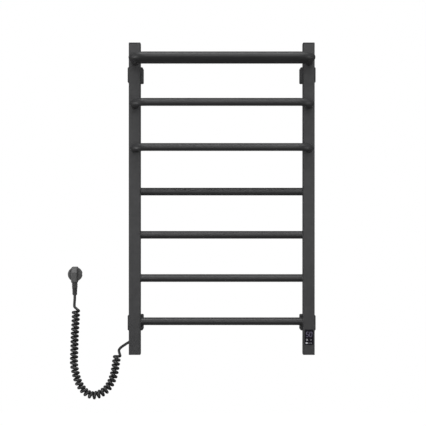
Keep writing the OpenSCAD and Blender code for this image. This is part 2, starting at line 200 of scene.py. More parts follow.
def bridge(before, after, steps, leave_pull, arrive_pull):
    """Points of a smooth curve from the end of one line to the start of the next."""
    a, b = before[-1], after[0]
    gap = (b - a).length
    leave = (before[-1] - before[-2]).normalized() * gap * leave_pull
    arrive = (after[1] - after[0]).normalized() * gap * arrive_pull
    points = []
    for k in range(1, steps):
        t = k / steps
        points.append(
            a * (2 * t ** 3 - 3 * t ** 2 + 1) + leave * (t ** 3 - 2 * t ** 2 + t)
            + b * (3 * t ** 2 - 2 * t ** 3) + arrive * (t ** 3 - t ** 2)
        )
    return points


# ---- Building pieces ----

class Piece:
    """Gathers the faces of one piece, in millimetres, and makes its mesh."""

    def __init__(self, name):
        self.name = name
        self.points = []
        self.faces = []
        self.finishes = []

    def loft(self, rings, join=False, finish=0):
        """Skins rings of equal count and closes both ends, or joins the last to the first."""
        base, count = len(self.points), len(rings[0])
        for ring in rings:
            self.points.extend(ring)
        made = []
        for i in range(len(rings) if join else len(rings) - 1):
            a = base + i * count
            b = base + (i + 1) % len(rings) * count
            for k in range(count):
                n = (k + 1) % count
                made.append((a + k, a + n, b + n, b + k))
        if not join:
            made.append(tuple(range(base + count - 1, base - 1, -1)))
            last = base + (len(rings) - 1) * count
            made.append(tuple(range(last, last + count)))
        self.faces.extend(made)
        self.finishes.extend([finish] * len(made))

    def plate(self, outline, place, back, front, finish=0):
        """A flat shape between two distances. place turns (u, v, distance) into a point."""
        self.loft([[place(u, v, w) for u, v in outline] for w in (back, front)], finish=finish)

    def finish(self, materials, slot, body="rack", replaced=(), weighted=True):
        """Makes the object, with its materials, its body and the CAD nodes that it stands for."""
        mesh = bpy.data.meshes.new(self.name)
        mesh.from_pydata([p * MM for p in self.points], [], self.faces)
        for material in materials:
            mesh.materials.append(material)
        mesh.polygons.foreach_set("material_index", self.finishes)
        work = bmesh.new()
        work.from_mesh(mesh)
        bmesh.ops.recalc_face_normals(work, faces=work.faces)
        work.to_mesh(mesh)
        work.free()
        mesh.shade_smooth()
        mesh.set_sharp_from_angle(angle=SHARP_ANGLE)
        piece = bpy.data.objects.new(self.name, mesh)
        scene.collection.objects.link(piece)
        if weighted:
            piece.modifiers.new("even_shading", "WEIGHTED_NORMAL").keep_sharp = True
        if replaced:
            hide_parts(*replaced)
        if body:
            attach(piece, body)
        return piece


def cut_holes(piece, holes):
    """Drills round holes. holes lists (start point, end point, radius), in millimetres."""
    for start, end, radius in holes:
        cutter = Piece("cutter")
        axis = end - start
        cutter.loft(turned([(0, radius), (axis.length, radius)], start, axis, sides=32))
        mesh = bpy.data.meshes.new("cutter")
        mesh.from_pydata([p * MM for p in cutter.points], [], cutter.faces)
        tool = bpy.data.objects.new("cutter", mesh)
        scene.collection.objects.link(tool)
        boolean = piece.modifiers.new("hole", "BOOLEAN")
        boolean.operation = "DIFFERENCE"
        boolean.solver = "EXACT"
        boolean.object = tool
        with bpy.context.temp_override(object=piece, active_object=piece):
            bpy.ops.object.modifier_move_to_index(modifier="hole", index=0)
            bpy.ops.object.modifier_apply(modifier="hole")
        bpy.data.objects.remove(tool)
        bpy.data.meshes.remove(mesh)
    piece.data.set_sharp_from_angle(angle=SHARP_ANGLE)


# ---- Materials ----

def shade(name, colour, roughness, metallic=0.0):
    """A material with its shader and the object's own coordinates."""
    material = bpy.data.materials.new(name)
    material.use_nodes = True
    tree = material.node_tree
    shader = tree.nodes["Principled BSDF"]
    shader.inputs["Base Color"].default_value = (*colour, 1)
    shader.inputs["Roughness"].default_value = roughness
    shader.inputs["Metallic"].default_value = metallic
    place = tree.nodes.new("ShaderNodeTexCoord").outputs["Object"]
    return material, tree, shader, place


def noise(tree, place, feature, detail=3.0, stretch=None):
    """Noise whose grains are about that many metres across."""
    if stretch:
        mapping = tree.nodes.new("ShaderNodeMapping")
        mapping.inputs["Scale"].default_value = stretch
        tree.links.new(place, mapping.inputs["Vector"])
        place = mapping.outputs["Vector"]
    texture = tree.nodes.new("ShaderNodeTexNoise")
    texture.inputs["Scale"].default_value = 1 / feature
    texture.inputs["Detail"].default_value = detail
    tree.links.new(place, texture.inputs["Vector"])
    return texture.outputs["Fac"]


def spread(tree, value, low, high):
    """Turns noise about its middle into a value from low to high."""
    node = tree.nodes.new("ShaderNodeMapRange")
    node.inputs["From Min"].default_value = 0.3
    node.inputs["From Max"].default_value = 0.7
    node.inputs["To Min"].default_value = low
    node.inputs["To Max"].default_value = high
    tree.links.new(value, node.inputs["Value"])
    return node.outputs["Result"]


def vary_colour(tree, shader, value, dark, light):
    """Mixes the shader's colour between two by a value."""
    ramp = tree.nodes.new("ShaderNodeValToRGB")
    ramp.color_ramp.elements[0].position = 0.35
    ramp.color_ramp.elements[0].color = (*dark, 1)
    ramp.color_ramp.elements[1].position = 0.65
    ramp.color_ramp.elements[1].color = (*light, 1)
    tree.links.new(value, ramp.inputs["Fac"])
    tree.links.new(ramp.outputs["Color"], shader.inputs["Base Color"])


def bump(tree, shader, value, depth, strength=1.0):
    """Raises the surface by a value, over that many metres, on top of any bump it has."""
    node = tree.nodes.new("ShaderNodeBump")
    node.inputs["Distance"].default_value = depth
    node.inputs["Strength"].default_value = strength
    tree.links.new(value, node.inputs["Height"])
    if shader.inputs["Normal"].is_linked:
        tree.links.new(shader.inputs["Normal"].links[0].from_socket, node.inputs["Normal"])
    tree.links.new(node.outputs["Normal"], shader.inputs["Normal"])


def scaled(colour, factor):
    """A colour made darker or lighter by a factor."""
    return tuple(c * factor for c in colour)


def powder_coat(name, colour, roughness=0.42):
    """Baked powder paint: a fine orange peel with tiny grains in it and slightly uneven gloss."""
    material, tree, shader, place = shade(name, colour, roughness)
    vary_colour(tree, shader, noise(tree, place, 0.035, 4), scaled(colour, 0.94), scaled(colour, 1.06))
    gloss = spread(tree, noise(tree, place, 0.012, 2), roughness - 0.04, roughness + 0.05)
    tree.links.new(gloss, shader.inputs["Roughness"])
    bump(tree, shader, noise(tree, place, 0.0016, 2), 0.00002, 0.5)
    bump(tree, shader, noise(tree, place, 0.0005, 2), 0.00002, 0.6)
    return material


def moulded_plastic(name, colour, roughness=0.5, grain=0.0006, depth=0.00003):
    """Injection-moulded plastic with a spark-eroded grain."""
    material, tree, shader, place = shade(name, colour, roughness)
    vary_colour(tree, shader, noise(tree, place, 0.01, 3), scaled(colour, 0.93), scaled(colour, 1.07))
    gloss = spread(tree, noise(tree, place, 0.006, 3), roughness - 0.05, roughness + 0.06)
    tree.links.new(gloss, shader.inputs["Roughness"])
    bump(tree, shader, noise(tree, place, grain, 2), depth, 0.7)
    return material


def soft_sheath(name, colour, roughness=0.38):
    """Flexible cable sheath: smooth, slightly waxy, with faint drag lines and handling marks."""
    material, tree, shader, place = shade(name, colour, roughness)
    vary_colour(tree, shader, noise(tree, place, 0.02, 4), scaled(colour, 0.85), scaled(colour, 1.15))
    marks = spread(tree, noise(tree, place, 0.004, 5), roughness - 0.07, roughness + 0.12)
    tree.links.new(marks, shader.inputs["Roughness"])
    bump(tree, shader, noise(tree, place, 0.0012, 3), 0.00004, 0.5)
    return material


def plated_metal(name, colour, roughness=0.28, stretch=(1, 8, 1)):
    """Plated metal with fine drawn lines and a slightly cloudy shine."""
    material, tree, shader, place = shade(name, colour, roughness, metallic=1.0)
    vary_colour(tree, shader, noise(tree, place, 0.004, 3), scaled(colour, 0.9), scaled(colour, 1.0))
    gloss = spread(tree, noise(tree, place, 0.0016, 3, stretch), roughness - 0.08, roughness + 0.12)
    tree.links.new(gloss, shader.inputs["Roughness"])
    bump(tree, shader, noise(tree, place, 0.0008, 2, stretch), 0.00001, 0.5)
    return material


def smoked_glass(name, colour):
    """The control's dark glossy front, with the faintest smears in its gloss."""
    material, tree, shader, place = shade(name, colour, 0.08)
    vary_colour(tree, shader, noise(tree, place, 0.012, 2), scaled(colour, 0.8), scaled(colour, 1.2))
    smears = spread(tree, noise(tree, place, 0.006, 4, (1, 1, 0.4)), 0.05, 0.16)
    tree.links.new(smears, shader.inputs["Roughness"])
    shader.inputs["Specular IOR Level"].default_value = 0.08
    return material


def lit_mark(name, colour, glow):
    """A mark behind the glass that the control lights."""
    material, tree, shader, place = shade(name, colour, 0.3)
    vary_colour(tree, shader, noise(tree, place, 0.003, 2), scaled(colour, 0.85), colour)
    shader.inputs["Emission Color"].default_value = (*colour, 1)
    shader.inputs["Emission Strength"].default_value = glow
    return material


def solder_mask(name, colour):
    """The circuit board: glossy lacquer over faint copper tracks."""
    material, tree, shader, place = shade(name, colour, 0.25)
    tracks = tree.nodes.new("ShaderNodeTexBrick")
    tracks.inputs["Scale"].default_value = 300
    tracks.inputs["Color1"].default_value = (*colour, 1)
    tracks.inputs["Color2"].default_value = (*scaled(colour, 0.8), 1)
    tracks.inputs["Mortar"].default_value = (*scaled(colour, 1.5), 1)
    tree.links.new(place, tracks.inputs["Vector"])
    tree.links.new(tracks.outputs["Color"], shader.inputs["Base Color"])
    bump(tree, shader, tracks.outputs["Fac"], 0.00003, 0.5)
    return material


GRAPHITE = (0.052, 0.052, 0.054)
FINISH = {
    "frame": powder_coat("graphite_powder_coat", GRAPHITE),
    "standoffs": powder_coat("standoff_powder_coat", scaled(GRAPHITE, 0.95)),
    "wall_bases": powder_coat("wall_base_powder_coat", scaled(GRAPHITE, 0.8), 0.5),
    "end_caps": moulded_plastic("end_cap_plastic", (0.028, 0.028, 0.030), 0.48),
    "plated_steel": plated_metal("zinc_plate", (0.55, 0.56, 0.58)),
    "nickel_plate": plated_metal("nickel_plate", (0.68, 0.64, 0.58), 0.22),
    "black_plastic": moulded_plastic("gland_plastic", (0.022, 0.022, 0.023), 0.42),
    "soft_black_plastic": moulded_plastic("soft_black_plastic", (0.065, 0.065, 0.066), 0.55),
    "cord_sheath": soft_sheath("cord_sheath", (0.048, 0.048, 0.048), 0.3),
    "plug_plastic": moulded_plastic("plug_plastic", (0.13, 0.13, 0.13), 0.5),
    "display_glass": smoked_glass("smoked_glass", (0.004, 0.003, 0.009)),
    "circuit_board": solder_mask("solder_mask", (0.02, 0.14, 0.06)),
    "relay_blue": moulded_plastic("relay_plastic", (0.03, 0.08, 0.30), 0.35),
    "terminal_green": moulded_plastic("terminal_plastic", (0.04, 0.28, 0.09), 0.4),
    "wire_sheath": soft_sheath("wire_sheath", (0.16, 0.16, 0.16), 0.45),
    "heating_silicone": soft_sheath("heating_silicone", (0.32, 0.07, 0.04), 0.5),
}


def dress_cad_nodes():
    """Gives every CAD node the finish of its material slot."""
    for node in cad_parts.values():
        for slot in node.material_slots:
            slot.material = FINISH[slot.material.name]


dress_cad_nodes()


# ---- Mains cord ----

# Points of the cord's centre line as (x, z), all in the plane y = CORD_Y, the same as in the
# CAD model: the lead out of the gland, the middle of the curly stretch and the lead to the plug
CORD_Y = -20
CORD_D = 7
LEAD_GLAND_ROUTE = [
    (-242, -375), (-248, -378.5), (-254, -382.5), (-260, -386.5), (-265, -390.5), (-268.5, -395),
    (-269.5, -399), (-269.5, -405),
]
COIL_ROUTE = [
    (-273.5, -405), (-273.5, -411), (-276, -424), (-279, -445), (-284, -466), (-292, -485), (-304, -501),
    (-319, -511), (-335, -515), (-350, -511), (-364, -499), (-376, -479), (-383, -455), (-387, -431),
    (-386, -394), (-385, -358), (-383, -325), (-382, -296), (-382, -290),
]
LEAD_PLUG_ROUTE = [
    (-386, -290), (-386, -284), (-386, -276), (-385.5, -268), (-385, -260), (-385, -252),
]
COIL_RADIUS = 7.5
COIL_PITCH = 11.1
COIL_POINTS = 24
# The helix runs from the coil's right side near one end to its right side near the other, and
# leaves these lengths for the curves that lead into it. On its way it turns half a turn more
# than a whole number, because the coil goes down on one side and up on the other.
COIL_LEAD_IN = 5.2
COIL_LEAD_OUT = 3
# Steps between each two points of the coil's middle line and of the leads
COIL_STEPS = 12
LEAD_STEPS = 3
# Steps of the curves between the leads and the helix, and how strongly each side bends them
BRIDGE_STEPS = 12
LEAD_PULL = 0.7
COIL_PULL = 1.5
# The turns lean: their right side hangs lower, and so does the side towards the wall
LEAN_RIGHT = 0.08
LEAN_BACK = 0.12
# How far the cord's ends reach into the strain reliefs
CORD_TUCK = 4


def route(points):
    """The (x, z) points of a route as points in the cord's plane."""
    return [Vector((x, CORD_Y, z)) for x, z in points]


def coil_line():
    """The helix of the curly stretch, left-handed, about its own curved middle line."""
    middle = smooth_line(route(COIL_ROUTE), COIL_STEPS)
    length = line_length(middle) - COIL_LEAD_IN - COIL_LEAD_OUT
    turns = round(length / COIL_PITCH) + 0.5
    count = round(turns * COIL_POINTS)
    middle = even_line(middle, count, COIL_LEAD_IN, COIL_LEAD_OUT)
    line = []
    for i, centre in enumerate(middle):
        along = (middle[min(i + 1, count)] - middle[max(i - 1, 0)]).normalized()
        outward = Vector((-along.z, 0, along.x))
        angle = 2 * math.pi * turns * i / count
        away = COIL_RADIUS * (math.cos(angle) * outward + math.sin(angle) * Vector((0, 1, 0)))
        away.z -= LEAN_RIGHT * away.x + LEAN_BACK * away.y
        line.append(centre + away)
    return line


def cord_line():
    """The whole cord's centre line, from inside the gland's boot to inside the plug's."""
    first = smooth_line(route(LEAD_GLAND_ROUTE[:-1]), LEAD_STEPS)
    last = smooth_line(route(LEAD_PLUG_ROUTE[1:]), LEAD_STEPS)
    first.insert(0, first[0] + (first[0] - first[1]).normalized() * CORD_TUCK)
    last.append(last[-1] + (last[-1] - last[-2]).normalized() * CORD_TUCK)
    # The ends of both leads give way to the curves that join them to the coil
    first = first[:-2]
    last = last[1:]
    coil = coil_line()
    down = bridge(first, coil, BRIDGE_STEPS, LEAD_PULL, COIL_PULL)
    up = bridge(coil, last, BRIDGE_STEPS, COIL_PULL, LEAD_PULL)
    return [*first, *down, *coil, *up, *last]


def make_cord():
    """The cord's sheath in one piece, attached to neither body."""
    line = cord_line()
    piece = Piece("mains_cord")
    piece.loft(swept(line, lambda i: CORD_D / 2))
    cord = piece.finish(
        [FINISH["cord_sheath"]], "cord_sheath", body=None,
        replaced=("cord_lead_gland", "cord_coil", "cord_lead_plug"), weighted=False,
    )
    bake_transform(cord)
    return cord, line


mains_cord, mains_cord_line = make_cord()
mains_cord_exit = route(LEAD_GLAND_ROUTE)[0]


# ---- Frame: end caps, stand-offs and welds ----

CAP_PLATE = 3
CAP_SOCKET = 10
CAP_GROOVE = 0.35
CAP_EDGE = 0.5
CAP_CORNER = 2
CAP_LEAST_CORNER = 0.6
# How far the groove and the socket are drawn in from the sides of the plate
CAP_GROOVE_INSET = 0.5
CAP_SOCKET_INSET = 1.8


def make_end_cap(side, end):
    """A moulded cap: a plate with rounded edges, a fine groove and a plain socket in the post."""
    node = f"end_cap_{side}_{end}"
    low, high = box_mm(node)
    x, y, _ = middle_of(low, high)
    way = 1 if end == "top" else -1
    outer_z = high.z if end == "top" else low.z
    width = high.x - low.x
    groove = CAP_PLATE - CAP_GROOVE
    socket = CAP_PLATE + CAP_SOCKET
    # Distance from the outer face, and how far the outline is drawn in there
    steps = [
        (0, CAP_EDGE), (0.12, 0.5 * CAP_EDGE), (0.35, 0.2 * CAP_EDGE), (CAP_EDGE, 0),
        (groove - 0.3, 0), (groove, 0.15), (groove, CAP_GROOVE_INSET),
        (CAP_PLATE, CAP_GROOVE_INSET), (CAP_PLATE, CAP_SOCKET_INSET - 0.05),
        (socket - 1, CAP_SOCKET_INSET), (socket, CAP_SOCKET_INSET + 0.6),
    ]
    rings = []
    for depth, inset in steps:
        outline = square(width, inset, max(CAP_CORNER - inset, CAP_LEAST_CORNER))
        rings.append(at_z(outline, x, y, outer_z - way * depth))
    piece = Piece(node.replace("end_cap", "cap"))
    piece.loft(rings)
    piece.finish([FINISH["end_caps"]], "end_caps", replaced=(node,))


SLEEVE_CORNER = 3
SLEEVE_BORE = 33.2
SLEEVE_BORE_CORNER = 2.0
SLEEVE_PLATE = 4.0
SLEEVE_SCREW_STEP = 10
SLEEVE_SCREW_R = 2.7
# The grub screw's hole comes up from below, that far in front of the sleeve's wall side
GRUB_R = 2.5
GRUB_BACK = 7


def make_sleeve(side, end):
    """A cast stand-off sleeve with softened edges, its screw holes and its grub screw hole."""
    node = f"sleeve_{side}_{end}"
    low, high = box_mm(node)
    x, _, z = middle_of(low, high)
    width = high.x - low.x
    rings = []
    # Distance from the post's side and how far the outside is drawn in there
    for depth, inset in ((0, 0.7), (0.1, 0.34), (0.3, 0.1), (0.7, 0)):
        rings.append(at_y(square(width, inset, SLEEVE_CORNER - inset), x, low.y + depth, z))
    # The same from the wall's side, for the outside and then for the bore
    for depth, inset in ((0.6, 0), (0.18, 0.15), (0, 0.6)):
        rings.append(at_y(square(width, inset, SLEEVE_CORNER - inset), x, high.y - depth, z))
    for depth, inset in ((0, -0.4), (0.4, 0)):
        outline = square(SLEEVE_BORE, inset, SLEEVE_BORE_CORNER - inset)
        rings.append(at_y(outline, x, high.y - depth, z))
    for inset in (0.0, 1.0):
        outline = square(SLEEVE_BORE, inset, SLEEVE_BORE_CORNER - 0.5 * inset)
        rings.append(at_y(outline, x, low.y + SLEEVE_PLATE - 1 + inset, z))
    piece = Piece(node.replace("sleeve", "standoff"))
    piece.loft(rings)
    sleeve = piece.finish([FINISH["standoffs"]], "standoffs", replaced=(node,))
    holes = []
    for dz in (-SLEEVE_SCREW_STEP, SLEEVE_SCREW_STEP):
        start = Vector((x, low.y - 1, z + dz))
        end_point = Vector((x, low.y + SLEEVE_PLATE + 1, z + dz))
        holes.append((start, end_point, SLEEVE_SCREW_R))
    grub = Vector((x, high.y - GRUB_BACK, low.z))
    holes.append((grub - Vector((0, 0, 1)), grub + Vector((0, 0, 5)), GRUB_R))
    cut_holes(sleeve, holes)


WELD_BEAD = 1.7
WELD_SIDES = 96
WELD_RIPPLES = 32
WELD_RIPPLE_DEPTH = 0.12


def round_bead(origin, axis, radius):
    """A weld bead round a tube that stands on a flat face, rippled as the torch left it."""
    # Distance along the tube and out from it, in bead sizes
    steps = [
        (-0.3, 0), (-0.3, 1), (0.12, 0.93), (0.3, 0.62),
        (0.62, 0.3), (0.93, 0.12), (1, -0.1), (0.6, -0.3),
    ]
    profile = [(WELD_BEAD * along, radius + WELD_BEAD * out) for along, out in steps]
    return turned(
        profile, origin, axis, sides=WELD_SIDES, waves=WELD_RIPPLES, depth=WELD_RIPPLE_DEPTH,
    )


def saddle_bead(leg_x, side, y, z, radius):
    """A weld bead along the curve where a cross tube meets a leg of its own diameter."""
    line = []
    for k in range(WELD_SIDES):
        angle = 2 * math.pi * k / WELD_SIDES
        across = radius * math.cos(angle)
        up = radius * math.sin(angle)
        line.append(Vector((leg_x - side * abs(across), y + across, z + up)))
    # The bead is thick in front and behind, and thin where the tubes only touch
    return swept(
        line, lambda i: 0.35 + 0.75 * abs(math.cos(2 * math.pi * i / WELD_SIDES)),
        sides=8, closed=True,
    )


def make_welds():
    """Beads where rungs and legs meet the posts, and where the cross tubes meet the legs."""
    for side, name in ((-1, "left"), (1, "right")):
        piece = Piece(f"welds_{name}")
        for node in ("rung_1", "rung_2", "rung_3", "rung_4"):
            low, high = box_mm(node)
            _, y, z = middle_of(low, high)
            end = Vector((high.x if side > 0 else low.x, y, z))
            piece.loft(round_bead(end, (-side, 0, 0), (high.z - low.z) / 2), join=True)
        for node in ("bowed_rung_lower", "bowed_rung_upper", "shelf_front_tube"):
            low, high = box_mm(node)
            radius = (high.z - low.z) / 2
            leg_x = high.x - radius if side > 0 else low.x + radius
            end = Vector((leg_x, high.y, (low.z + high.z) / 2))
            piece.loft(round_bead(end, (0, -1, 0), radius), join=True)
        outer_x = box_mm("shelf_front_tube")[1].x
        for node in ("shelf_middle_tube", "shelf_rear_tube"):
            low, high = box_mm(node)
            _, y, z = middle_of(low, high)
            radius = (high.z - low.z) / 2
            leg_x = side * (outer_x - radius)
            piece.loft(saddle_bead(leg_x, side, y, z, radius), join=True)
        piece.finish([FINISH["frame"]], "frame", weighted=False)


for side_name in ("left", "right"):
    for end_name in ("top", "bottom"):
        make_end_cap(side_name, end_name)
        make_sleeve(side_name, end_name)
make_welds()


# ---- Control: glass, figures and marks ----

GLASS_CORNER = 1.5


def make_glass():
    """The glass with a polished edge, standing on the post's face."""
    low, high = box_mm("display_glass")
    x, _, z = middle_of(low, high)
    width, height = high.x - low.x, high.z - low.z
    rings = []
    # Distance from the front and how far the outline is drawn in there
    for depth, inset in ((0, 0.55), (0.12, 0.22), (0.4, 0), (high.y - low.y, 0)):
        corner = GLASS_CORNER - 0.5 * inset
        outline = rounded_rect(width - 2 * inset, height - 2 * inset, corner)
        rings.append(at_y(outline, x, low.y + depth, z))
    piece = Piece("control_glass")
    piece.loft(rings)
    piece.finish([FINISH["display_glass"]], "display_glass", replaced=("display_glass",))


# The seven strokes of a figure, and which of them the figures light
STROKES = {
    "a": ((-1, 1), (1, 1)), "b": ((1, 1), (1, 0)), "c": ((1, 0), (1, -1)), "d": ((-1, -1), (1, -1)),
    "e": ((-1, 0), (-1, -1)), "f": ((-1, 1), (-1, 0)), "g": ((-1, 0), (1, 0)),
}
LIT_STROKES = {"5": "afgcd", "0": "abcdef"}
FIGURE_W = 5.6
FIGURE_H = 11.6
STROKE_HALF = 0.75
FIGURE_SLANT = 0.08
# Distance of each figure from the glass's middle line
FIGURE_PLACES = {"5": -4.2, "0": 4.6}
# Height of each row of marks above the glass's middle
FIGURE_ROW = 7.3
TOUCH_ROW = -7
LAMP_ROW = -15.2
# Distance of the two touch marks from the glass's middle line, and the radius of their rings
TOUCH_X = 5
TOUCH_R = 1.8
# The marks stand that far out of the glass and reach that far into it
MARK_PROUD = 0.06
MARK_SUNK = 0.3


def stroke(start, end):
    """One stroke of a figure: a long hexagon from start to end."""
    start, end = Vector(start), Vector(end)
    along = (end - start).normalized() * STROKE_HALF
    across = Vector((-along.y, along.x))
    return [
        start, start + along + across, end - along + across,
        end, end - along - across, start + along - across,
    ]


def figure_strokes(figure):
    """The strokes that are lit in one figure, about its middle."""
    strokes = []
    for name in LIT_STROKES[figure]:
        ends = [(u * FIGURE_W / 2, v * FIGURE_H / 2) for u, v in STROKES[name]]
        strokes.append(stroke(*ends))
    return strokes


def arc_strip(radius, width, start, end, steps=24):
    """A curved strip between two angles, as short pieces that can be lofted one by one."""
    inner, outer = radius - width / 2, radius + width / 2
    strips = []
    for k in range(steps):
        a, b = [math.radians(start + (end - start) * (k + j) / steps) for j in (0, 1)]
        corners = ((inner, a), (outer, a), (outer, b), (inner, b))
        strips.append([(r * math.cos(angle), r * math.sin(angle)) for r, angle in corners])
    return strips


def make_marks():
    """Two figures, two touch marks and a row of small lamps, thin layers on the glass."""
    low, high = box_mm("display_glass")
    middle_x, _, middle_z = middle_of(low, high)

    def add(piece, outline, x, z, slant=0.0):
        piece.plate(
            outline, lambda u, v, w: Vector((middle_x + x + u + slant * v, low.y - w, middle_z + z + v)),
            -MARK_SUNK, MARK_PROUD,
        )

    def finish(piece, name, colour, glow):
        piece.finish([lit_mark(name, colour, glow)], "display_glass", weighted=False)

    figures = Piece("lit_figures")
    for figure, x in FIGURE_PLACES.items():
        for outline in figure_strokes(figure):
            add(figures, outline, x, FIGURE_ROW, FIGURE_SLANT)
    finish(figures, "figure_light", (0.12, 0.105, 0.17), 0.25)

    # A power mark, and the bright lamp below it
    bright = Piece("lit_marks")
    for strip in arc_strip(TOUCH_R, 0.9, 125, 415):
        add(bright, strip, -TOUCH_X, TOUCH_ROW)
    add(bright, rounded_rect(0.9, 2.4, 0.4, 3), -TOUCH_X, TOUCH_ROW + 1.4)
    add(bright, rounded_rect(5.2, 3.6, 1.75, 6), -6.2, LAMP_ROW)
    finish(bright, "mark_light", (0.6, 0.6, 0.64), 0.35)

    # A timer mark with its two hands, and four dim lamps below it
    dim = Piece("printed_marks")
    for strip in arc_strip(TOUCH_R, 0.6, 0, 360):
        add(dim, strip, TOUCH_X, TOUCH_ROW)
    add(dim, rounded_rect(0.5, 1.7, 0.24, 3), TOUCH_X, TOUCH_ROW + 0.6)
    add(dim, rounded_rect(1.4, 0.5, 0.24, 3), TOUCH_X + 0.5, TOUCH_ROW - 0.1)
    for x, width in ((-1.6, 1.2), (1.0, 1.6), (3.6, 1.6), (6.4, 2.0)):
        add(dim, rounded_rect(width, 2.2, 0.4, 3), x, LAMP_ROW)
    finish(dim, "mark_print", (0.28, 0.28, 0.30), 0.12)


make_glass()
make_marks()


# ---- Gland and its strain relief ----

GLAND_BODY_R = 7
GLAND_FOOT_R = 8.5
# How far along the cord's way the boot starts, from the middle of the gland's body
GLAND_BOOT_START = 6.0


def make_gland():
    """The elbow gland behind the post: a hex foot, a fluted body, a domed cap and its thread."""
    high = box_mm("cable_gland")[1]
    x, _, z = middle_of(*box_mm("gland_locknut"))
    foot_place = (x, box_mm("post_left")[1].y, z)
    outward = (0, 1, 0)
    length = high.y - foot_place[1]
    piece = Piece("elbow_gland")
    foot = [(-0.02, 7.7), (0.4, GLAND_FOOT_R), (2.5, GLAND_FOOT_R), (3, 7.9)]
    piece.loft(turned(foot, foot_place, outward, sides=6))
    body = [
        (2.6, 6.9), (7, 6.9), (7.4, 6.5), (8.2, 6.5), (8.6, GLAND_BODY_R), (length - 8, GLAND_BODY_R),
        (length - 4, 6.9), (length - 1.6, 6.2), (length - 0.4, 4.6), (length, 2.5),
    ]
    piece.loft(turned(body, foot_place, outward, sides=72, waves=12, depth=0.35))
    thread = [(-4.5, 5.2), (-4.1, 5.8)]
    for turn in range(5):
        thread += [(-3.7 + turn * 0.7, 5.85), (-3.4 + turn * 0.7, 5.45)]
    thread += [(0.2, 5.85)]
    piece.loft(turned(thread, foot_place, outward, sides=48))
    piece.finish([FINISH["black_plastic"]], "black_plastic", replaced=("cable_gland",))
    return Vector((x, CORD_Y, z))


def ribbed(length, start_r, end_r, ribs, groove):
    """Profile of a ribbed, tapering strain relief, as (distance, radius)."""
    lead_in, plain_end = 0.6, 0.9
    profile = [(0, start_r - 0.5), (0.4, start_r)]
    step = (length - lead_in - plain_end) / ribs
    for k in range(ribs):
        near = lead_in + step * k
        radius = start_r + (end_r - start_r) * near / length
        profile += [(near, radius), (near + 0.52 * step, radius)]
        profile += [(near + 0.6 * step, radius - groove), (near + 0.92 * step, radius - groove)]
    return [*profile, (length - plain_end, end_r), (length - 0.3, end_r), (length, end_r - 0.5)]


def make_gland_boot(gland_centre):
    """The gland's soft boot, which points along the cord's first stretch."""
    way = mains_cord_exit - gland_centre
    start = gland_centre + way.normalized() * GLAND_BOOT_START
    profile = ribbed(way.length - GLAND_BOOT_START, 5.2, 4.4, 5, 0.7)
    piece = Piece("gland_boot")
    piece.loft(turned(profile, start, way, sides=40))
    return piece.finish(
        [FINISH["soft_black_plastic"]], "soft_black_plastic", replaced=("gland_strain_relief",),
    )


gland_boot = make_gland_boot(make_gland())


# ---- Plug ----

PLUG_DISC_T = 15
PLUG_RIM_T = 3.6
# Notches in the disc's side, as (angle, half width, depth): for the guides of a socket at the
# sides and for the earth clips above and below
PLUG_NOTCHES = [(0, 2.6, 2.2), (90, 2.5, 1.2), (180, 2.6, 2.2), (270, 2.5, 1.2)]
NECK_W = 14
NECK_H = 20
NECK_FRONT = -29
NECK_REAR = -11
NECK_CORNER = 4.6
NECK_GROOVES = 3
GRIP_W = 16
# Height of the grip's lower end above the neck's, and of its slope below its upper end
GRIP_RISE = 15
GRIP_SLOPE = 14
GRIP_GROOVES = 3
CLIP_T = 0.5


def notched_disc(radius, notches, steps=20):
    """Outline of a disc with straight-sided notches."""
    points = []

    def add(r, angle):
        points.append((r * math.cos(math.radians(angle)), r * math.sin(math.radians(angle))))

    for k, (middle, half, depth) in enumerate(notches):
        opening = math.degrees(math.asin(half / radius))
        for offset, r in ((-opening, radius), (-opening, radius - depth), (opening, radius - depth)):
            add(r, middle + offset)
        next_middle, next_half, _ = notches[(k + 1) % len(notches)]
        start = middle + opening
        end = next_middle - math.degrees(math.asin(next_half / radius))
        end += 360 if end < start else 0
        for j in range(steps):
            add(radius, start + (end - start) * j / steps)
    return points


def add_plug_disc(piece, x, face_y, z, disc_r):
    """The notched disc with its full rim and the shallow ring inside it."""
    # Distance from the wall side and how far the disc's side is drawn in there
    rings = []
    for depth, inset in ((0, 0.9), (0.4, 0.5), (PLUG_DISC_T - PLUG_RIM_T + 0.2, 0.4)):
        rings.append(at_y(notched_disc(disc_r - inset, PLUG_NOTCHES), x, face_y - depth, z))
    piece.loft(rings)
    rim = [
        (PLUG_DISC_T - PLUG_RIM_T, disc_r - 0.5), (PLUG_DISC_T - PLUG_RIM_T + 0.4, disc_r - 0.1),
        (PLUG_DISC_T - 1.9, disc_r - 0.1), (PLUG_DISC_T - 0.9, disc_r - 0.4),
        (PLUG_DISC_T - 0.25, disc_r - 1.1), (PLUG_DISC_T, disc_r - 2.2), (PLUG_DISC_T, disc_r - 4.4),
        (PLUG_DISC_T - 0.4, disc_r - 4.8), (PLUG_DISC_T - 0.4, disc_r - 7),
    ]
    piece.loft(turned(rim, (x, face_y, z), (0, -1, 0), sides=96))


def add_plug_neck(piece, x, low_z):
    """The upright neck, with grooves round its lower part."""
    # Height above the neck's lower end, and how far its outline is drawn in there
    steps = [(0, 1.2), (0.4, 0.4), (0.9, 0.2)]
    for k in range(NECK_GROOVES):
        groove = 1.8 + 4.4 * k
        steps += [(groove, 0), (groove + 0.3, 0.9), (groove + 1.3, 0.9), (groove + 1.6, 0)]
    steps += [(NECK_H, 0)]
    rings = []
    for height, inset in steps:
        outline = rounded_rect(
            NECK_W - 2 * inset, NECK_REAR - NECK_FRONT - 2 * inset, NECK_CORNER - inset,
        )
        rings.append(at_z(outline, x, (NECK_FRONT + NECK_REAR) / 2, low_z + height))
    piece.loft(rings)


